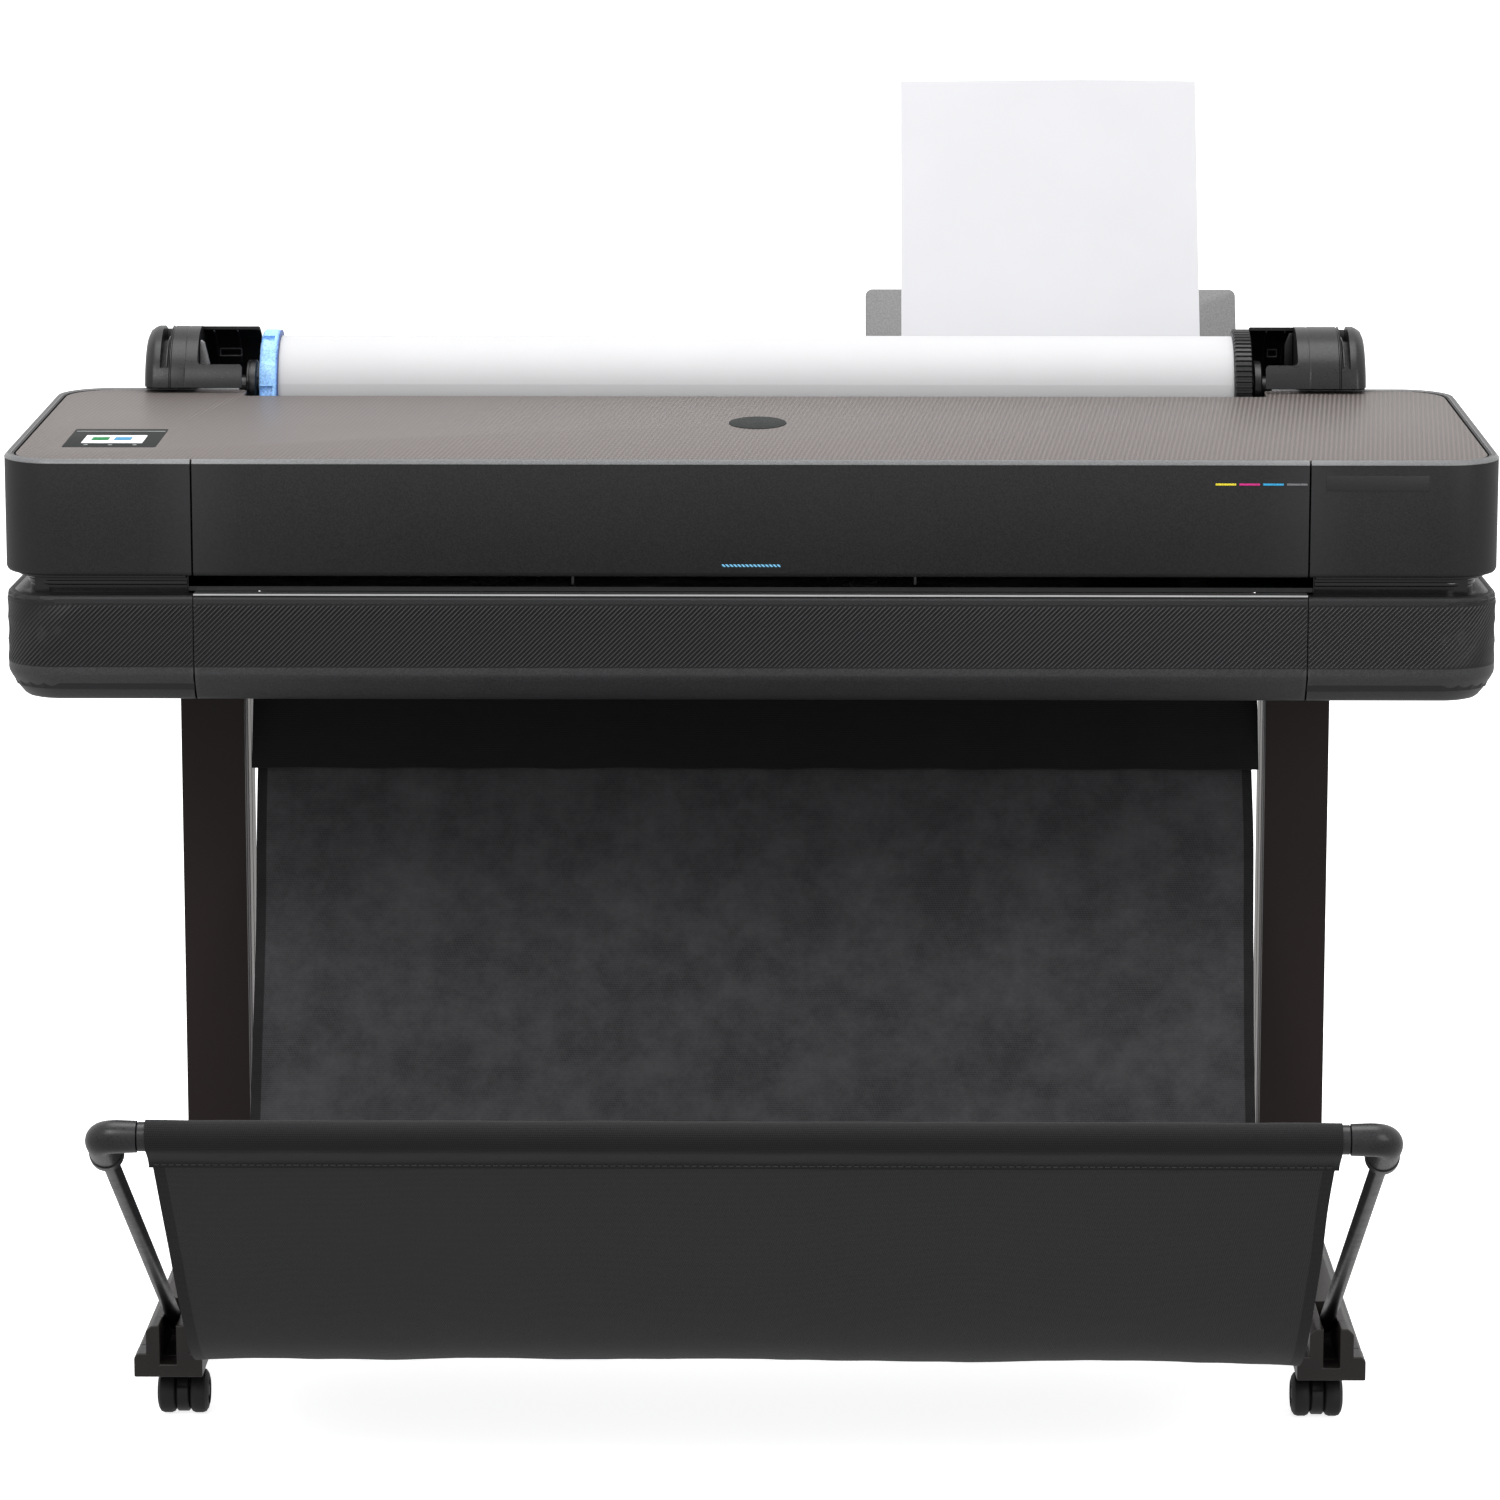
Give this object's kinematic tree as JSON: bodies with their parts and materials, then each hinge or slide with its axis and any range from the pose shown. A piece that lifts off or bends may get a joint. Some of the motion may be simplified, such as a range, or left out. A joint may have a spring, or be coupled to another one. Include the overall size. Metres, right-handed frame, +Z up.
{
  "type": "large format plotter",
  "caption": "Wide roll-fed plotter on a wheeled stand, with a paper roll and sheet feeder behind, a hinged front window and a folding cloth basket.",
  "frame": {"origin": "centre of the bounding box on the floor", "axes": "+Z up, -Y towards the operator, +X to the operator's right"},
  "size_m": [1.3284, 1.3165, 1.1479],
  "materials": {
    "charcoal_plastic": "fine-grained moulding",
    "window_plastic": "fine-grained moulding",
    "taupe_cover": "textured inlay",
    "gloss_black": "gloss",
    "black_plastic": "satin",
    "sheet_steel": "plated",
    "lip_metal": "satin",
    "display_frame": "satin",
    "display_screen": "gloss",
    "ink_yellow": "satin",
    "ink_magenta": "satin",
    "ink_cyan": "satin",
    "ink_black": "satin",
    "blue_plastic": "satin",
    "paper": "plain matt paper",
    "roller_rubber": "matt",
    "tray_grey": "satin",
    "leg_brown": "fine powder coat",
    "basket_bar": "satin",
    "basket_cloth": "woven",
    "basket_rod": "gloss",
    "caster_black": "satin",
    "caster_tread": "satin"
  },
  "bodies": {
    "base": {"chassis": "sheet_steel", "electronics_box": "sheet_steel", "rear_cover": "charcoal_plastic", "rear_bulkhead": "black_plastic", "lower_front_panel": "charcoal_plastic", "exit_lip": "lip_metal", "lower_cover_left": "charcoal_plastic", "lower_cover_right": "charcoal_plastic", "upper_cover_left": "charcoal_plastic", "upper_cover_right": "charcoal_plastic", "side_frame_left": "gloss_black", "side_frame_right": "gloss_black", "top_cover": "taupe_cover", "display_bezel": "display_frame", "display_glass": "display_screen", "platen": "gloss_black", "carriage_rail": "sheet_steel", "ink_cartridge_yellow": "ink_yellow", "ink_cartridge_magenta": "ink_magenta", "ink_cartridge_cyan": "ink_cyan", "ink_cartridge_black": "ink_black", "spindle_holder_left": "gloss_black", "spindle_holder_right": "gloss_black", "power_inlet": "black_plastic", "leg_left": "leg_brown", "leg_right": "leg_brown", "foot_left": "leg_brown", "foot_right": "leg_brown", "foot_cap_left": "black_plastic", "foot_cap_right": "black_plastic", "cross_bar": "leg_brown", "basket_back": "basket_cloth"},
    "front_window": {"front_window": "window_plastic"},
    "spindle": {"spindle_rod": "black_plastic", "roll_hub_blue": "blue_plastic", "roll_hub_gear": "black_plastic", "paper_roll": "paper"},
    "carriage": {"carriage": "black_plastic"},
    "drive_pulley": {"drive_pulley": "sheet_steel"},
    "feed_roller": {"feed_roller": "roller_rubber"},
    "sheet_tray": {"sheet_tray": "tray_grey", "loaded_sheet": "paper"},
    "tray_extension": {"tray_extension": "tray_grey"},
    "paper_guide_left": {"paper_guide_left": "tray_grey"},
    "paper_guide_right": {"paper_guide_right": "tray_grey"},
    "power_switch": {"power_switch": "black_plastic"},
    "basket_frame": {"basket_bar": "basket_bar", "basket_elbow_left": "basket_bar", "basket_elbow_right": "basket_bar", "basket_rod_left": "basket_rod", "basket_rod_right": "basket_rod", "basket_front": "basket_cloth"},
    "caster_swivel_front_left": {"caster_fork_front_left": "caster_black"},
    "caster_wheel_front_left": {"caster_wheel_front_left": "caster_tread"},
    "caster_swivel_front_right": {"caster_fork_front_right": "caster_black"},
    "caster_wheel_front_right": {"caster_wheel_front_right": "caster_tread"},
    "caster_swivel_rear_left": {"caster_fork_rear_left": "caster_black"},
    "caster_wheel_rear_left": {"caster_wheel_rear_left": "caster_tread"},
    "caster_swivel_rear_right": {"caster_fork_rear_right": "caster_black"},
    "caster_wheel_rear_right": {"caster_wheel_rear_right": "caster_tread"}
  },
  "joints": [
    {"name": "front_window_hinge", "type": "hinge", "parent": "base", "child": "front_window", "pos_m": [0, -0.1314, 0.8575], "axis": [-1, 0, 0], "range_deg": [0, 95]},
    {"name": "spindle_spin", "type": "hinge", "parent": "base", "child": "spindle", "pos_m": [0, 0.3406, 0.8726], "axis": [1, 0, 0], "continuous": true},
    {"name": "carriage_slide", "type": "slide", "parent": "base", "child": "carriage", "axis": [1, 0, 0], "range_m": [-0.74, 0.095]},
    {"name": "drive_pulley_spin", "type": "hinge", "parent": "base", "child": "drive_pulley", "pos_m": [-0.46, 0.2256, 0.829], "axis": [0, 0, 1], "continuous": true},
    {"name": "feed_roller_spin", "type": "hinge", "parent": "base", "child": "feed_roller", "pos_m": [0, 0.0406, 0.761], "axis": [1, 0, 0], "continuous": true},
    {"name": "sheet_tray_tilt", "type": "hinge", "parent": "base", "child": "sheet_tray", "pos_m": [0, 0.4956, 0.808], "axis": [1, 0, 0], "range_deg": [0, 20]},
    {"name": "tray_extension_slide", "type": "slide", "parent": "sheet_tray", "child": "tray_extension", "axis": [0, 0.4446, 0.8957], "range_m": [0, 0.1]},
    {"name": "paper_guide_left_slide", "type": "slide", "parent": "sheet_tray", "child": "paper_guide_left", "axis": [-1, 0, 0], "range_m": [0, 0.028]},
    {"name": "paper_guide_right_slide", "type": "slide", "parent": "sheet_tray", "child": "paper_guide_right", "axis": [1, 0, 0], "range_m": [0, 0.028]},
    {"name": "power_switch_rock", "type": "hinge", "parent": "base", "child": "power_switch", "pos_m": [-0.42, 0.5092, 0.77], "axis": [1, 0, 0], "range_deg": [-12, 0]},
    {"name": "basket_fold", "type": "hinge", "parent": "base", "child": "basket_frame", "pos_m": [0, -0.1344, 0.0745], "axis": [-1, 0, 0], "range_deg": [0, 54]},
    {"name": "caster_swivel_front_left", "type": "hinge", "parent": "base", "child": "caster_swivel_front_left", "pos_m": [-0.51, -0.1544, 0.042], "axis": [0, 0, 1], "continuous": true},
    {"name": "caster_spin_front_left", "type": "hinge", "parent": "caster_swivel_front_left", "child": "caster_wheel_front_left", "pos_m": [-0.51, -0.1644, 0.02], "axis": [1, 0, 0], "continuous": true},
    {"name": "caster_swivel_front_right", "type": "hinge", "parent": "base", "child": "caster_swivel_front_right", "pos_m": [0.51, -0.1544, 0.042], "axis": [0, 0, 1], "continuous": true},
    {"name": "caster_spin_front_right", "type": "hinge", "parent": "caster_swivel_front_right", "child": "caster_wheel_front_right", "pos_m": [0.51, -0.1644, 0.02], "axis": [1, 0, 0], "continuous": true},
    {"name": "caster_swivel_rear_left", "type": "hinge", "parent": "base", "child": "caster_swivel_rear_left", "pos_m": [-0.51, 0.3706, 0.042], "axis": [0, 0, 1], "continuous": true},
    {"name": "caster_spin_rear_left", "type": "hinge", "parent": "caster_swivel_rear_left", "child": "caster_wheel_rear_left", "pos_m": [-0.51, 0.3806, 0.02], "axis": [1, 0, 0], "continuous": true},
    {"name": "caster_swivel_rear_right", "type": "hinge", "parent": "base", "child": "caster_swivel_rear_right", "pos_m": [0.51, 0.3706, 0.042], "axis": [0, 0, 1], "continuous": true},
    {"name": "caster_spin_rear_right", "type": "hinge", "parent": "caster_swivel_rear_right", "child": "caster_wheel_rear_right", "pos_m": [0.51, 0.3806, 0.02], "axis": [1, 0, 0], "continuous": true}
  ],
  "couplings": [
    {"joint": "drive_pulley_spin", "follows": "carriage_slide", "rad_per_m": 100},
    {"joint": "paper_guide_right_slide", "follows": "paper_guide_left_slide", "ratio": 1}
  ]
}
